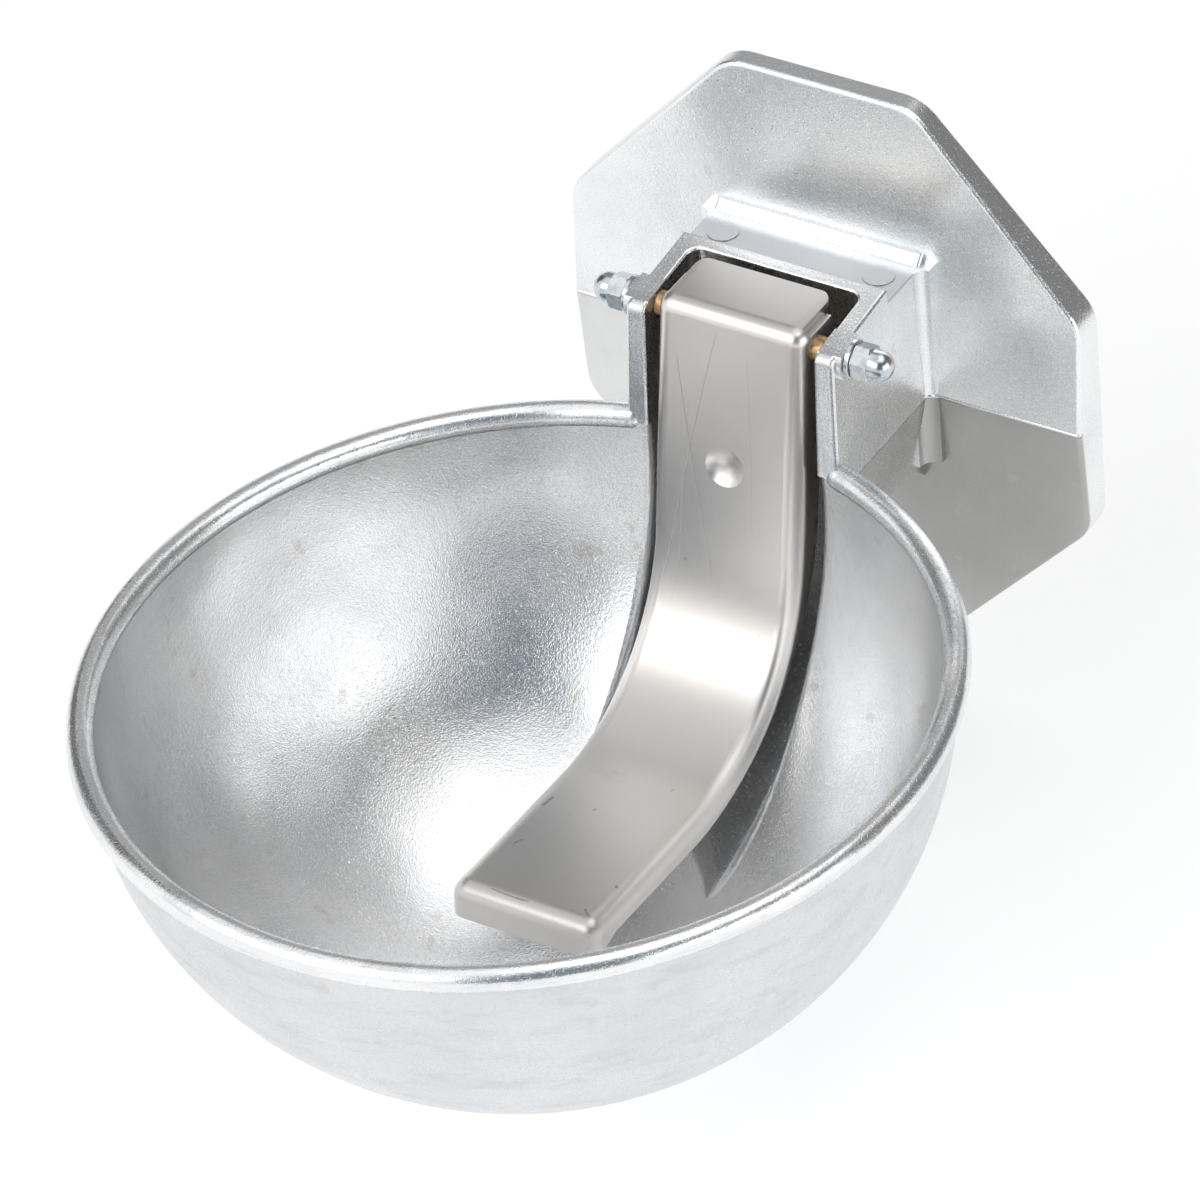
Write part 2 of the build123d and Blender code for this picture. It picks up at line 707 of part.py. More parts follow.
def valve_body():
    seal_front, hex_front, barrel_front, bonnet_front = valve_faces()
    rear = shank_rear()
    body = along_y(valve_thread_radius, seal_front - 1, rear)
    body += hex_along_y(valve_hex, hex_front, seal_front) & chamfered_bar(valve_hex, hex_front, seal_front)
    body += along_y(barrel_radius, barrel_front, hex_front + 1)
    body -= along_y(chamber_radius, seat_face() + seat_thickness, rear + 1)
    body -= along_y(seat_radius + fit_gap, seat_face(), seat_face() + seat_thickness + 1)
    body -= along_y(front_chamber_radius, barrel_front + bonnet_thread_length, seat_face() + 1)
    body -= along_y(bonnet_thread_radius + fit_gap, barrel_front - 1, barrel_front + bonnet_thread_length)
    body -= along_y(bonnet_thread_radius + 2 * o_ring_wire + 0.1, barrel_front - 1, barrel_front + 2 * o_ring_wire)
    groove_front = strainer_rear()
    body -= along_y(chamber_radius + circlip_groove, groove_front, groove_front + circlip_thickness + 0.1)
    outlet = Cylinder(outlet_radius, barrel_radius + 2, align=(Align.CENTER, Align.CENTER, Align.MAX))
    body -= Pos(0, outlet_y(), valve_z) * outlet
    return body


def outlet_y():
    return valve_faces()[2] + outlet_set_back


def chamfered_bar(across_flats, y_from, y_to):
    """A round bar that takes the corners off a hexagon's front face."""
    corner = across_flats / sqrt(3)
    bar = along_y(corner + 0.05, y_from, y_to)
    front = [e for e in bar.edges() if abs(e.center().Y - y_from) < 0.01]
    return chamfer(front, 0.9, 1.6)


def valve_body_seal():
    seal_front = valve_faces()[0]
    ring = along_y(seal_radius, seal_front, valve_spot_face)
    return ring - along_y(valve_thread_radius + 0.15, seal_front - 1, valve_spot_face + 1)


def valve_bonnet():
    seal_front, hex_front, barrel_front, bonnet_front = valve_faces()
    body = along_y(bonnet_thread_radius, barrel_front - 1, barrel_front + bonnet_thread_length)
    hexagon = hex_along_y(bonnet_hex, bonnet_front, barrel_front)
    body += hexagon & chamfered_bar(bonnet_hex, bonnet_front, barrel_front)
    body -= along_y(stem_radius + running_gap, bonnet_front - 1, barrel_front + 10)
    ring_y = stem_ring_y()
    groove = along_y(stem_radius + running_gap + 2 * stem_ring_wire, ring_y - stem_ring_wire - 0.1,
                     ring_y + stem_ring_wire + 0.1)
    return body - groove


def stem_ring_y():
    return valve_faces()[2] - 0.6


def ring(mean_radius, wire, y):
    """An O-ring around the valve's axis."""
    return Pos(0, y, valve_z) * Rot(-90, 0, 0) * Torus(mean_radius, wire)


def bonnet_o_ring():
    return ring(bonnet_thread_radius + o_ring_wire + 0.05, o_ring_wire, valve_faces()[2] + o_ring_wire)


def stem_o_ring():
    return ring(stem_radius + running_gap + stem_ring_wire, stem_ring_wire, stem_ring_y())


def cap_front():
    return nub_tip() + cap_gap


def push_cap():
    front = cap_front()
    cap = along_y(push_cap_radius, front, front + push_cap_length)
    rims = [e for e in cap.edges() if abs(e.center().Y - front) < 0.01]
    cap = fillet(rims, 1.0)
    return cap - along_y(stem_radius + fit_gap, front + 1.2, front + push_cap_length + 1)


def seat_lip_y():
    return seat_face() + seat_thickness + seat_lip


def disc_front():
    return seat_lip_y() + disc_gap


def valve_stem():
    thin_from = disc_front()
    thin_to = thin_from + disc_thickness + carrier_thickness + disc_nut_height + 0.8
    stem = along_y(stem_radius, cap_front() + 1.2, thin_from)
    stem += along_y(stem_end_radius, thin_from - 1, thin_to)
    ends = [e for e in stem.edges() if abs(e.center().Y - thin_to) < 0.01]
    return chamfer(ends, 0.3)


def seal_disc():
    front = disc_front()
    disc = along_y(disc_radius, front, front + disc_thickness)
    return disc - along_y(stem_end_radius + fit_gap, front - 1, front + 10)


def disc_carrier():
    front = disc_front() + disc_thickness
    plate = along_y(carrier_radius, front, front + carrier_thickness)
    return plate - along_y(stem_end_radius + fit_gap, front - 1, front + 10)


def disc_nut():
    front = disc_front() + disc_thickness + carrier_thickness
    nut = hex_along_y(disc_nut_flats, front, front + disc_nut_height)
    return nut - along_y(stem_end_radius + fit_gap, front - 1, front + 10)


def valve_seat():
    face = seat_face()
    seat = along_y(seat_radius, face, face + seat_thickness)
    seat += along_y(seat_lip_radius, face, seat_lip_y())
    rims = [e for e in seat.edges() if abs(e.center().Y - seat_lip_y()) < 0.01]
    seat = fillet(rims, 0.3)
    return seat - along_y(seat_bore, face - 1, seat_lip_y() + 1)


def strainer_rear():
    return shank_rear() - strainer_set_in


def inlet_strainer():
    """Perforated disc behind the spring, held by the circlip."""
    rear = strainer_rear()
    disc = along_y(chamber_radius - 0.05, rear - strainer_thickness, rear)
    for ring_radius, count in ((2.6, 6), (5.4, 12)):
        for place in PolarLocations(ring_radius, count):
            x, z = place.position.X, place.position.Y
            disc -= along_y(0.75, rear - 2, rear + 1, x, valve_z + z)
    return disc - along_y(0.75, rear - 2, rear + 1)


def spring_circlip():
    """Split ring in the groove behind the strainer."""
    rear = strainer_rear()
    clip = along_y(chamber_radius + circlip_groove - 0.1, rear + 0.05, rear + 0.05 + circlip_thickness)
    clip -= along_y(chamber_radius - 1.3, rear - 1, rear + 3)
    return clip - block((-1.6, rear - 1, valve_z), (1.6, rear + 3, valve_z + 12))


def valve_spring():
    """Pushes the disc on to its seat; its wire runs from the carrier to the strainer."""
    front = disc_front() + disc_thickness + carrier_thickness
    rear = strainer_rear() - strainer_thickness
    length = rear - front - spring_wire - 0.04
    pitch = length / spring_turns
    path = Helix(pitch, length, spring_mean_radius)
    section = Plane(origin=path @ 0, z_dir=path % 0) * Circle(spring_wire / 2)
    coil = sweep(section, path=path, is_frenet=True)
    return Pos(0, front + spring_wire / 2 + 0.02, valve_z) * Rot(-90, 0, 0) * coil


def parts():
    """Every piece by its node's name."""
    return {
        "bowl_casting": bowl_casting(),
        "tongue": tongue(),
        "tongue_axle": tongue_axle(),
        "bush_left": bush(-1),
        "bush_right": bush(1),
        "washer_left": washer(-1),
        "washer_right": washer(1),
        "acorn_nut_left": acorn_nut(-1),
        "acorn_nut_right": acorn_nut(1),
        "valve_body": valve_body(),
        "valve_body_seal": valve_body_seal(),
        "valve_bonnet": valve_bonnet(),
        "bonnet_o_ring": bonnet_o_ring(),
        "valve_stem": valve_stem(),
        "stem_o_ring": stem_o_ring(),
        "push_cap": push_cap(),
        "valve_seat": valve_seat(),
        "seal_disc": seal_disc(),
        "disc_carrier": disc_carrier(),
        "disc_nut": disc_nut(),
        "valve_spring": valve_spring(),
        "inlet_strainer": inlet_strainer(),
        "spring_circlip": spring_circlip(),
    }


os.makedirs("parts", exist_ok=True)
for name, shape in parts().items():
    export_step(shape, f"parts/{name}.step")
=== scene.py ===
import json
import math
import bpy
from mathutils import Matrix, Vector


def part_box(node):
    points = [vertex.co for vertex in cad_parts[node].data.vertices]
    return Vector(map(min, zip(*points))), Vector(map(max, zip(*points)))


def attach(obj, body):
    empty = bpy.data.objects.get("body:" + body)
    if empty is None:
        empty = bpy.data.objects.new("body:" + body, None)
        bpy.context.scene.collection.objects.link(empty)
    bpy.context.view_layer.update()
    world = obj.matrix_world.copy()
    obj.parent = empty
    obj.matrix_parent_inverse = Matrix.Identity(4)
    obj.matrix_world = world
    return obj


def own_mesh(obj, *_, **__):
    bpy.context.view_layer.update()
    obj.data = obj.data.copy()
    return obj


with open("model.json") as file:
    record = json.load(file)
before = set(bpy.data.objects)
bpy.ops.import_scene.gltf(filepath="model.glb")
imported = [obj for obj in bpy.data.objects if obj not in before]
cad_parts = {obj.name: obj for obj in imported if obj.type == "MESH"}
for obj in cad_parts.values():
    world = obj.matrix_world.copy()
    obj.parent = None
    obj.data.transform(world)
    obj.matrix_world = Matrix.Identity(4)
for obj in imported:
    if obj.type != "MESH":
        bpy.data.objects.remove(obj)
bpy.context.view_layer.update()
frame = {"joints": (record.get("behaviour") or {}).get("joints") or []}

# ---------------------------------------------------------------- casting
# Bowl, channel, cheeks and wall plate are one cast and tumbled piece of aluminium. The inside keeps a
# granular skin, the rim bead was ground and the cheeks' tops and fronts filed by hand, and the plate's
# front is rougher below the line where the two halves of the mould met. It is also painted darker there,
# painted shade for the shaded wall under the bowl that it reflects.
rim_y = -0.191                # the middle of the rim
rim_z = 0.005
rim_half_width = 0.124        # to the middle of the bead
rim_half_length = 0.13045
inner_half_width = 0.1208     # the inner surface, from the same middle
inner_half_length = 0.1271
inner_depth = 0.118
inner_set_back = 0.0086       # its lowest point lies this far behind the middle

plate_depth = 0.0135          # at the parting line, which lies at Z = 0
plate_lean = 0.0699           # the front leans back by this share of the height above or below it
channel_half_width = 0.0286
housing_reach = 0.0385        # half width, past the bosses round the axle
cheek_front_y = -0.0656       # at the front edge of the tops
cheek_front_z = 0.0464
cheek_front_lean = 0.0676     # the fronts run forward by this share of the way down
filed_above = 0.0455          # the cheeks' tops
shelf_y = -0.0318             # the shelf lies behind the housing's rear wall
shelf_z = 0.0458

pale_skin = (0.89, 0.895, 0.90, 1)
bluish_skin = (0.76, 0.785, 0.81, 1)
grey_skin = (0.62, 0.632, 0.645, 1)
slate_skin = (0.52, 0.535, 0.55, 1)
shade_skin = (0.42, 0.415, 0.40, 1)
brown_stain = (0.62, 0.57, 0.50, 1)


class Sock:
    """A socket in a material's tree. Sums on it add Math nodes, and node() adds any other node."""

    def __init__(self, tree, socket=None):
        self.tree = tree
        self.socket = socket

    def node(self, kind, settings, inputs, out=0):
        made = self.tree.nodes.new(kind)
        for name, value in settings.items():
            setattr(made, name, value)
        for name, value in inputs.items():
            if isinstance(value, Sock):
                self.tree.links.new(value.socket, made.inputs[name])
            else:
                made.inputs[name].default_value = value
        return Sock(self.tree, made.outputs[out])

    def maths(self, operation, first, second=0.0):
        return self.node("ShaderNodeMath", {"operation": operation}, {0: first, 1: second})

    def __add__(self, other):
        return self.maths("ADD", self, other)

    def __sub__(self, other):
        return self.maths("SUBTRACT", self, other)

    def __rsub__(self, other):
        return self.maths("SUBTRACT", other, self)

    def __mul__(self, other):
        return self.maths("MULTIPLY", self, other)

    def __truediv__(self, other):
        return self.maths("DIVIDE", self, other)

    def __pow__(self, other):
        return self.maths("POWER", self, other)

    def __abs__(self):
        return self.maths("ABSOLUTE", self)

    __radd__ = __add__
    __rmul__ = __mul__

    def rise(self, low, high):
        """0 below low, 1 above high, smooth between. With low above high it falls instead."""
        return self.node("ShaderNodeMapRange", {"interpolation_type": "SMOOTHSTEP"},
                         {"Value": self, "From Min": low, "From Max": high})

    def between(self, colour, other):
        """The first colour where this is 0, the other where it is 1."""
        # a Mix node keeps its colours in inputs 6 and 7 and output 2
        return self.node("ShaderNodeMix", {"data_type": "RGBA"}, {"Factor": self, 6: colour, 7: other}, 2)

    def parts(self):
        """The three coordinates of this point."""
        return [self.node("ShaderNodeSeparateXYZ", {}, {"Vector": self}, axis) for axis in range(3)]

    def noise(self, scale, detail=2.0, rough=0.5, stretch=(1, 1, 1), shift=(0, 0, 0)):
        """Noise from 0 to 1 on this point, with scale in waves per metre."""
        place = self.node("ShaderNodeVectorMath", {"operation": "MULTIPLY_ADD"},
                          {0: self, 1: stretch, 2: shift})
        return self.node("ShaderNodeTexNoise", {},
                         {"Vector": place, "Scale": scale, "Detail": detail, "Roughness": rough})

    def bump(self, distance, under=None):
        """A normal from this height, built on a coarser normal where one is given."""
        coarser = {"Normal": under} if under else {}
        return self.node("ShaderNodeBump", {}, {"Height": self, "Distance": distance, **coarser})


def finish_named(name):
    """A new material: (material, point on the object, surface shader)."""
    material = bpy.data.materials.new(name)
    material.use_nodes = True
    tree = material.node_tree
    point = Sock(tree).node("ShaderNodeTexCoord", {}, {}, "Object")
    return material, point, tree.nodes["Principled BSDF"]


def drive(shader, **values):
    """Puts values or links on a shader's sockets. Underscores stand for spaces."""
    for name, value in values.items():
        socket = shader.inputs[name.replace("_", " ")]
        if isinstance(value, Sock):
            value.tree.links.new(value.socket, socket)
        else:
            socket.default_value = value


def dress(node, material):
    """Gives a piece of the frame its material."""
    bpy.data.objects[node].data.materials.clear()
    bpy.data.objects[node].data.materials.append(material)


cast, point, shader = finish_named("cast_aluminium")
x, y, z = point.parts()
across = abs(x)
off_parting = abs(z)

# where a point lies: each of these is 1 in its region and 0 outside it
below_rim = z.rise(rim_z + 0.001, rim_z - 0.001)
from_rim = z - rim_z
from_middle = y - rim_y + from_rim * (inner_set_back / inner_depth)
in_plan = (across / inner_half_width) ** 2 + (from_middle / inner_half_length) ** 2
shell = in_plan + (from_rim / inner_depth) ** 2     # 1 on the bowl's inner surface
inside = shell.rise(1.035, 1.015) * below_rim

on_plate = y.rise(-0.020, -0.015)
plate_front = on_plate * (y - off_parting * plate_lean).rise(0.0025 - plate_depth, 0.0010 - plate_depth)
within_cheeks = across.rise(housing_reach + 0.002, housing_reach)
on_housing = y.rise(-0.070, -0.064) * within_cheeks * (1 - on_plate)
beside_housing = on_housing * y.rise(-0.075, -0.050) * z.rise(-0.030, -0.012)
shelf = on_housing * z.rise(shelf_z - 0.0008, shelf_z) * y.rise(shelf_y - 0.0007, shelf_y)

cheek_top = on_housing * z.rise(filed_above - 0.0015, filed_above)
past_front = y - cheek_front_y + (cheek_front_z - z) * cheek_front_lean
on_cheek = across.rise(channel_half_width - 0.0021, channel_half_width - 0.0011) * within_cheeks
above_rim = z.rise(rim_z + 0.001, rim_z + 0.0035)
cheek_front = past_front.rise(0.0014, 0.0004) * on_cheek * above_rim * (1 - cheek_top)

rim_share = ((across / rim_half_width) ** 2 + ((y - rim_y) / rim_half_length) ** 2) ** 0.5
bead = rim_share.rise(0.955, 0.968) * rim_share.rise(1.045, 1.033) * z.rise(rim_z - 0.0045, rim_z - 0.0035)
outside = (1 - inside) * (1 - bead) * (1 - on_plate) * (1 - on_housing) * below_rim
tops = cheek_top + cheek_front + bead

# the cast skin: slow waves, the mould's peel, fine grain, bright specks, clouds, stains and scuffs
waves = point.noise(17, 1.0, 0.5, shift=(8, 2, 6))
peel = point.noise(850, 2.0, 0.55, shift=(3, 1, 2))
grain = point.noise(2100, 1.0, 0.7)
specks = point.noise(1300, 0.0, 0.5, shift=(4, 4, 1)).rise(0.62, 0.72)
clouds = point.noise(26, 3.0, 0.55, shift=(1, 5, 2))
stains = point.noise(90, 2.0, 0.6, shift=(6, 3, 9)).rise(0.66, 0.74)
scuffs = (point.noise(45, 4.0, 0.65, stretch=(1, 1, 3), shift=(1, 4, 4)).rise(0.45, 0.75)
          + point.noise(260, 3.0, 0.6, stretch=(1, 1, 6), shift=(7, 1, 2)).rise(0.58, 0.70) * 0.5)

# marks of wheel and file: along the bead, where they are drawn out tenfold round the rim, along the
# tops, and down the fronts
mark_scale = 800
round_rim = x.maths("ARCTAN2", x, rim_y - y)
on_bead = point.node("ShaderNodeCombineXYZ", {}, {"X": rim_share * 0.125, "Y": round_rim * 0.012, "Z": z})
ground = on_bead.noise(mark_scale, 3.0, 0.7)
beside_channel = across.rise(channel_half_width - 0.0001, channel_half_width + 0.0014)
filed = (point.noise(mark_scale, 3.0, 0.7, stretch=(1, 0.10, 0.5)) * beside_channel
         + point.noise(mark_scale, 3.0, 0.7, stretch=(0.10, 1, 0.5), shift=(3, 3, 1)) * (1 - beside_channel))
filed_down = point.noise(mark_scale, 3.0, 0.7, stretch=(1, 0.5, 0.08), shift=(5, 1, 1))
file_marks = ground * bead + filed * cheek_top + filed_down * cheek_front

# the parting line, and below it painted shade: the plate is painted darker, most at the right and round the
# housing's root, for the shaded wall under the bowl that it reflects
lower = (plate_front + beside_housing * 0.4) * z.rise(0.0006, -0.0006)
parting = (plate_front + beside_housing) * off_parting.rise(0.0007, 0.0001)
near_housing = ((across - 0.036) ** 2 + (z + 0.020) ** 2).rise(0.0085, 0.0)
painted_shade = lower * (0.12 + x.rise(-0.05, 0.03) * (0.30 + near_housing * 0.45) + clouds * 0.25)

height = (peel * (0.03 + inside * 0.035 + on_plate * 0.03 - tops * 0.015)
          + grain * (0.04 + inside * 0.06 - tops * 0.028)
          + file_marks * 0.075 - specks * 0.03 + parting * 0.35)
rough = (0.19 + clouds * 0.08 + grain * 0.10 - specks * 0.10 + lower * 0.12 + outside * 0.08
         - inside * 0.03 - parting * 0.1 + shelf * 0.14)
colour = (clouds.rise(0.42, 0.66) * 0.6).between(pale_skin, bluish_skin)
colour = (outside * (0.58 + scuffs * 0.34)).between(colour, grey_skin)
# painted shade: the shelf, sunk between the housing's rear wall and the plate, is painted darker slate grey
colour = shelf.between(colour, slate_skin)
colour = (file_marks.rise(0.52, 0.72) * 0.35).between(colour, slate_skin)
# painted shade below the parting line, with the parting line itself left out
colour = (painted_shade * (1 - parting)).between(colour, shade_skin)
colour = (stains * 0.35).between(colour, brown_stain)
drive(shader, Metallic=1.0, Roughness=rough, Base_Color=colour,
      Normal=height.bump(0.001, waves.bump(0.0045)))
dress("bowl_casting", cast)

# ---------------------------------------------------------------- threads in the casting
# The water inlet is tapped G 1/2 and the four blind bosses on the back are tapped M8. The ridges are
# cut in the aluminium of the casting, so they share its finish.
inlet_z = 0.003
fixing_x = 0.062
fixing_z = 0.028
fixing_thread = {"radius": 0.0034, "pitch": 0.00125, "depth": 0.0068, "ridge": 0.0004}


def tapped(name, x, z, radius, pitch, depth, ridge):
    """The ridge of a thread that runs from the wall face, at Y = 0, into a hole along -Y."""
    steps_per_turn = 48
    steps = int(depth / pitch * steps_per_turn)
    fade_steps = steps_per_turn / 4      # the ridge starts and ends shallow
    sunk = 0.00004                       # its foot lies this deep in the hole's wall
    first_middle = 0.6                   # this and the next two are shares of the pitch
    half_root = 0.46
    half_crest = 0.08
    profile = ((sunk, -half_root), (-ridge, -half_crest), (-ridge, half_crest), (sunk, half_root))
    corners = []
    for i in range(steps + 1):
        angle = 2 * math.pi * i / steps_per_turn
        middle = -pitch * (first_middle + i / steps_per_turn)
        fade = min(1, i / fade_steps, (steps - i) / fade_steps)
        for outward, along in profile:
            r = radius + (outward * fade if outward < 0 else outward)
            corners.append((x + r * math.sin(angle), middle + along * pitch, z + r * math.cos(angle)))
    faces = []
    for i in range(steps):
        for k in range(len(profile) - 1):
            a = i * len(profile) + k
            b = a + len(profile)
            faces.append((a, a + 1, b + 1, b))
    mesh = bpy.data.meshes.new(name)
    mesh.from_pydata(corners, [], faces)
    mesh.materials.append(cast)
    thread = bpy.data.objects.new(name, mesh)
    bpy.context.scene.collection.objects.link(thread)
    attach(thread, "casting")


tapped("inlet_thread", 0, inlet_z, radius=0.0093, pitch=0.001814, depth=0.0145, ridge=0.00055)
for side, label in ((-1, "left"), (1, "right")):
    tapped("fixing_thread_upper_" + label, side * fixing_x, fixing_z, **fixing_thread)
    tapped("fixing_thread_lower_" + label, side * fixing_x, -fixing_z, **fixing_thread)

# ---------------------------------------------------------------- tongue
# The tongue is pressed from 2 mm stainless sheet. It is satin from the rolling mill, with drawing marks
# down its length, two long scratches that cross, and small dark marks and stains from use. The edges of
# its flanges were trimmed by shears.
flap_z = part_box("tongue")[1][2]
face_y = -0.0649        # where flap and face would meet
face_lean = 0.162       # the face runs forward by this share of the way down
elbow_z = -0.050
paddle_z = -0.064

satin_steel = (0.78, 0.745, 0.71, 1)
light_steel = (0.80, 0.775, 0.75, 1)
shade_steel = (0.56, 0.545, 0.53, 1)
tan_stain = (0.50, 0.44, 0.37, 1)
dark_mark = (0.22, 0.19, 0.17, 1)

# start, end, bow, half width and strength of each, with the ends on X and Z
face_scratches = (
    ((-0.0034, 0.047), (-0.0196, -0.042), 0.0008, 0.00018, 1),
    ((-0.0172, 0.036), (-0.0029, -0.037), 0.0006, 0.00020, 1),
    ((0.0065, 0.041), (0.0098, -0.020), -0.0005, 0.00012, 0.5),
    ((-0.0125, 0.022), (-0.0150, -0.048), 0.0003, 0.00012, 0.5))
# the same, with the ends on X and Y
paddle_marks = (
    ((-0.0188, -0.1505), (-0.0196, -0.1560), 0, 0.0007, 1),
    ((-0.0158, -0.1725), (-0.0170, -0.1770), 0.0006, 0.0005, 1),
    ((-0.0125, -0.1968), (0.0010, -0.1972), 0.0003, 0.00035, 1),
    ((0.0172, -0.1930), (0.0202, -0.1955), 0.0004, 0.0006, 1),
    ((-0.0045, -0.1500), (-0.0052, -0.1512), 0, 0.0004, 1))
paddle_stains = (
    ((-0.0170, -0.1334), (0.0050, -0.1330), 0, 0.0050, 1),)
flap_smudges = (
    ((-0.0215, -0.0545), (-0.0095, -0.0545), 0, 0.0016, 1),
    ((0.0085, -0.0547), (0.0200, -0.0540), 0, 0.0013, 1))


def strokes(first, second, lines):
    """1 along thin lines on the plane of these two coordinates, 0 beside them."""
    total = 0
    for start, end, bow, half_width, strength in lines:
        reach = (end[0] - start[0], end[1] - start[1])
        length = math.hypot(*reach)
        along = ((first - start[0]) * reach[0] + (second - start[1]) * reach[1]) * (1 / length ** 2)
        offset = ((first - start[0]) * reach[1] - (second - start[1]) * reach[0]) * (1 / length)
        offset = offset - along * (1 - along) * (4 * bow)
        across_line = abs(offset).rise(half_width, half_width * 0.3)
        total += across_line * along.rise(0, 0.06) * along.rise(1, 0.94) * strength
    return total


steel, point, shader = finish_named("stainless_sheet")
x, y, z = point.parts()
on_flap = z.rise(flap_z - 0.0012, flap_z - 0.0005)
on_face = z.rise(elbow_z - 0.005, elbow_z) * z.rise(flap_z - 0.0042, flap_z - 0.0052)
on_paddle = z.rise(paddle_z, paddle_z - 0.002)
behind_face = y - face_y + (flap_z - z) * face_lean
flange_edge = behind_face.rise(0.0098, 0.0108) * z.rise(-0.060, -0.045) * z.rise(0.030, 0.020)

streaks = point.noise(1400, 3.0, 0.6, stretch=(1, 0.012, 0.012))
soft = point.noise(18, 1.0, 0.5, shift=(2, 2, 8))
fine = point.noise(2600, 2.0, 0.6)
smears = point.noise(160, 4.0, 0.65, stretch=(0.5, 1, 1), shift=(5, 2, 2))
pits = point.noise(170, 0.0, 0.5, shift=(9, 1, 3)).rise(0.835, 0.86)
trimmed = flange_edge * point.noise(420, 3.0, 0.6, stretch=(1, 0.3, 1), shift=(1, 1, 4)).rise(0.35, 0.6)
scratches = on_face * 0.75 * strokes(x, z, face_scratches)
marks = on_paddle * strokes(x, y, paddle_marks) * fine.rise(0.30, 0.55)
stain = on_paddle * smears.rise(0.52, 0.70) * strokes(x, y, paddle_stains)
smudges = on_flap * smears.rise(0.60, 0.70) * strokes(x, y, flap_smudges)

colour = (soft.rise(0.4, 0.65) * 0.7 + streaks.rise(0.55, 0.8) * 0.25).between(satin_steel, light_steel)
# painted shade: the flap and the tongue's lower end, darkening downward to the paddle, are painted a darker
# steel
colour = (on_flap * 0.9 + z.rise(-0.040, -0.072) * 0.9).between(colour, shade_steel)
colour = (stain * 0.5 + trimmed * 0.6).between(colour, tan_stain)
colour = (marks * 0.75 + smudges * 0.5 + scratches * 0.55 + pits * 0.7).between(colour, dark_mark)
rough = (0.24 + streaks * 0.12 + soft * 0.04 + on_flap * 0.08 + on_paddle * 0.04
         + (marks + scratches + smudges + trimmed) * 0.2)
drive(shader, Metallic=1.0, Base_Color=colour, Roughness=rough,
      Normal=(streaks * 0.6 + fine * 0.4 - scratches * 1.6 - marks * 1.2).bump(0.00003))
dress("tongue", steel)

# ---------------------------------------------------------------- nuts and washers
# Domed cap nuts and washers of steel close the axle's ends outside the cheeks. They are bright zinc
# plated, which leaves them slightly blue and clouded.
blue_zinc = (0.50, 0.55, 0.60, 1)
grey_zinc = (0.66, 0.68, 0.70, 1)

zinc, point, shader = finish_named("zinc_plating")
clouded = point.noise(300, 3.0, 0.6)
drive(shader, Metallic=1.0, Base_Color=clouded.rise(0.35, 0.6).between(blue_zinc, grey_zinc),
      Roughness=0.14 + clouded * 0.14, Normal=clouded.bump(0.00004))
for node in ("acorn_nut_left", "acorn_nut_right", "washer_left", "washer_right"):
    dress(node, zinc)

# ---------------------------------------------------------------- axle, stem and strainer
# The 6 mm axle and the valve's stem are turned from stainless bar. The strainer, the ring that holds it
# and the spring are stainless too and share the look of the bar.
bar, point, shader = finish_named("stainless_bar")
turned = point.noise(1800, 2.0, 0.6, stretch=(1, 0.1, 0.1))
drive(shader, Metallic=1.0, Base_Color=(0.66, 0.66, 0.66, 1), Roughness=0.2 + turned * 0.15,
      Normal=turned.bump(0.00002))
for node in ("tongue_axle", "valve_stem", "valve_spring", "inlet_strainer", "spring_circlip"):
    dress(node, bar)

# ---------------------------------------------------------------- valve spring
# The coil of stainless wire stands against the strainer, and the valve's disc pushes it together from the
# front by as much as the stem slides. Here it only gets a mesh of its own; the share of its length to keep
# is worked out and passed on, but nothing squashes it.
spring_front, spring_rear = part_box("valve_spring")
spring_length = spring_rear[1] - spring_front[1]
stem_travel = next(joint for joint in frame["joints"] if joint["name"] == "stem_slide")["range_m"][1]
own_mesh(bpy.data.objects["valve_spring"], "stem_slide", (0, 1, 0), (0, spring_rear[1], inlet_z),
          keep=1 - stem_travel / spring_length)

# ---------------------------------------------------------------- bushes and brass of the valve
# The tongue's bushes, the valve's body and bonnet, the disc's carrier and its nut are turned from brass
# bar, which has tarnished unevenly.
bright_brass = (0.56, 0.37, 0.19, 1)
dull_brass = (0.34, 0.21, 0.11, 1)

brass, point, shader = finish_named("turned_brass")
tarnish = point.noise(420, 3.0, 0.6)
drive(shader, Metallic=1.0, Base_Color=tarnish.rise(0.4, 0.7).between(bright_brass, dull_brass),
      Roughness=0.22 + tarnish * 0.2, Normal=tarnish.bump(0.00003))
for node in ("bush_left", "bush_right", "valve_body", "valve_bonnet", "disc_carrier", "disc_nut"):
    dress(node, brass)

# ---------------------------------------------------------------- seals
# The flat seal under the valve's hexagon, two O-rings and the disc that shuts the valve are moulded
# from black rubber and pressed into their seats.
rubber, point, shader = finish_named("seal_rubber")
skin = point.noise(2200, 2.0, 0.5)
drive(shader, Base_Color=(0.02, 0.02, 0.021, 1), Roughness=0.55 + skin * 0.2, Normal=skin.bump(0.00003))
for node in ("valve_body_seal", "bonnet_o_ring", "stem_o_ring", "seal_disc"):
    dress(node, rubber)

# ---------------------------------------------------------------- cap and seat
# The cap that the tongue pushes and the seat that the disc closes on are turned from pale acetal, and
# are pressed on to the stem and into the valve's body.
acetal, point, shader = finish_named("acetal")
turned = point.noise(1500, 2.0, 0.5)
drive(shader, Base_Color=(0.80, 0.79, 0.75, 1), Roughness=0.32 + turned * 0.1, Normal=turned.bump(0.00003))
for node in ("push_cap", "valve_seat"):
    dress(node, acetal)

# ---------------------------------------------------------------- floor and sky
# A pale studio floor lies just under the bowl, and a pale sky stands round it. Both look white to the
# eye and in the metal, and light the bowl only softly.
floor_half_width = 6
floor_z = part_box("bowl_casting")[0][2] - 0.0002


def seen(tree):
    """1 to the camera, in reflections and through glass, and 0 for the light that falls on the bowl."""
    return sum(Sock(tree).node("ShaderNodeLightPath", {}, {}, ray)
               for ray in ("Is Camera Ray", "Is Glossy Ray", "Is Transmission Ray"))


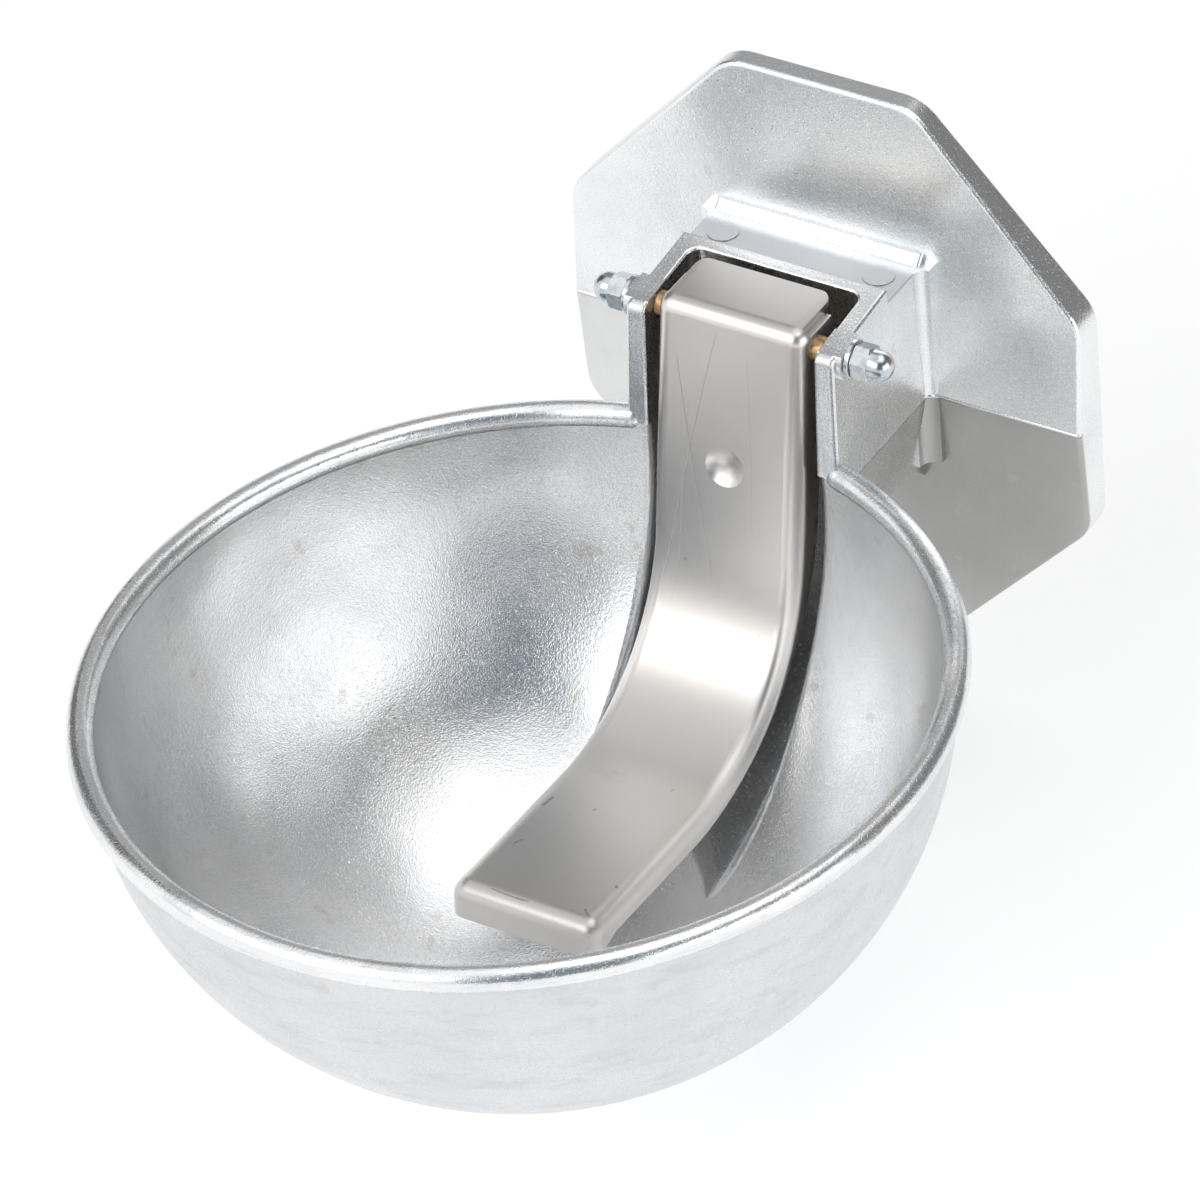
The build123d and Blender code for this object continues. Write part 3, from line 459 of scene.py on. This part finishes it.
paint, point, shader = finish_named("studio_floor")
glow = seen(paint.node_tree).between((0, 0, 0, 1), (0.55, 0.55, 0.55, 1))
drive(shader, Base_Color=(0.86, 0.86, 0.86, 1), Roughness=0.9, Specular_IOR_Level=0.1,
      Emission_Color=glow, Emission_Strength=1)
corners = [(side_x * floor_half_width, side_y * floor_half_width, floor_z)
           for side_x, side_y in ((-1, -1), (1, -1), (1, 1), (-1, 1))]
mesh = bpy.data.meshes.new("floor")
mesh.from_pydata(corners, [], [(0, 1, 2, 3)])
mesh.materials.append(paint)
floor = bpy.data.objects.new("floor", mesh)
bpy.context.scene.collection.objects.link(floor)

world = bpy.data.worlds.new("studio")
bpy.context.scene.world = world
world.use_nodes = True
sky = seen(world.node_tree).between((0.45, 0.45, 0.45, 1), (1, 1, 1, 1))
drive(world.node_tree.nodes["Background"], Color=sky)

# ---------------------------------------------------------------- lamps and cards
# Large soft lamps stand in front, to the right and above the back of the bowl. Grey cards, curved round
# it and a little farther out, give the bare metal something to reflect.
bowl_middle = Vector((0, -0.16, -0.02))
card_distance = 3.2


def toward(azimuth, elevation, distance):
    """A place seen from the bowl: azimuth 0 is straight in front, 90 to the right."""
    a = math.radians(azimuth)
    e = math.radians(elevation)
    outward = Vector((math.sin(a) * math.cos(e), -math.cos(a) * math.cos(e), math.sin(e)))
    return bowl_middle + distance * outward


def softbox(name, azimuth, elevation, distance, wide, high, level):
    """A lamp that faces the bowl and is as bright as a white surface at level 1."""
    lamp = bpy.data.lights.new(name, "AREA")
    lamp.shape = "RECTANGLE"
    lamp.size = wide
    lamp.size_y = high
    lamp.energy = level * math.pi * wide * high
    placed = bpy.data.objects.new(name, lamp)
    place = toward(azimuth, elevation, distance)
    facing = (bowl_middle - place).to_track_quat("-Z", "Y").to_matrix().to_4x4()
    placed.matrix_world = Matrix.Translation(place) @ facing
    bpy.context.scene.collection.objects.link(placed)


def card(name, azimuths, elevations, level, blue=0.0):
    """A curved card between two azimuths and two elevations, of an even brightness."""
    steps_across = 12
    steps_up = 8
    corners = []
    for j in range(steps_up + 1):
        for i in range(steps_across + 1):
            azimuth = azimuths[0] + (azimuths[1] - azimuths[0]) * i / steps_across
            elevation = elevations[0] + (elevations[1] - elevations[0]) * j / steps_up
            corners.append(toward(azimuth, elevation, card_distance))
    faces = []
    for j in range(steps_up):
        for i in range(steps_across):
            a = j * (steps_across + 1) + i
            b = a + steps_across + 1
            faces.append((a, a + 1, b + 1, b))
    paint, point, shader = finish_named(name)
    drive(shader, Base_Color=(0, 0, 0, 1), Specular_IOR_Level=0, Emission_Strength=1,
          Emission_Color=(level * (1 - blue), level, level * (1 + blue), 1))
    mesh = bpy.data.meshes.new(name)
    mesh.from_pydata(corners, [], faces)
    mesh.materials.append(paint)
    placed = bpy.data.objects.new(name, mesh)
    placed.visible_camera = False
    bpy.context.scene.collection.objects.link(placed)


softbox("front_softbox", -18, 38, distance=2.2, wide=2.2, high=1.3, level=1.3)
softbox("right_softbox", 86, 8, distance=2.2, wide=2.0, high=1.6, level=1.0)
softbox("rear_softbox", 125, 72, distance=2.4, wide=1.8, high=1.2, level=0.85)
card("camera_screen", (18, 63), (6, 58), level=0.165, blue=0.24)
card("band_screen", (63, 112), (29, 50), level=0.14)
card("right_screen", (112, 178), (-6, 50), level=0.20)
card("left_screen", (-128, -84), (6, 52), level=0.12)
card("wall_screen", (-176, -130), (8, 62), level=0.36)

# ---------------------------------------------------------------- camera
# A long lens stands 2.7 m away at the front right and looks down on the bowl. Its place is given with
# the directions of its right, its top and its back.
camera_place = (1.1981, -1.9532, 1.6886)
camera_right = Vector((0.85996421, 0.50568917, -0.06884776))
camera_top = Vector((-0.26492353, 0.55762714, 0.78668132))
camera_back = Vector((0.43620761, -0.65827839, 0.61350834))
focal_pixels = 9504.28
frame_pixels = 1200

camera = bpy.data.cameras.new("camera")
camera.sensor_width = 36
camera.lens = focal_pixels / frame_pixels * camera.sensor_width
camera.clip_end = 50
placed = bpy.data.objects.new("camera", camera)
axes = Matrix((camera_right, camera_top, camera_back)).transposed().to_4x4()
placed.matrix_world = Matrix.Translation(camera_place) @ axes
bpy.context.scene.collection.objects.link(placed)
bpy.context.scene.camera = placed
bpy.context.scene.view_settings.view_transform = "Standard"
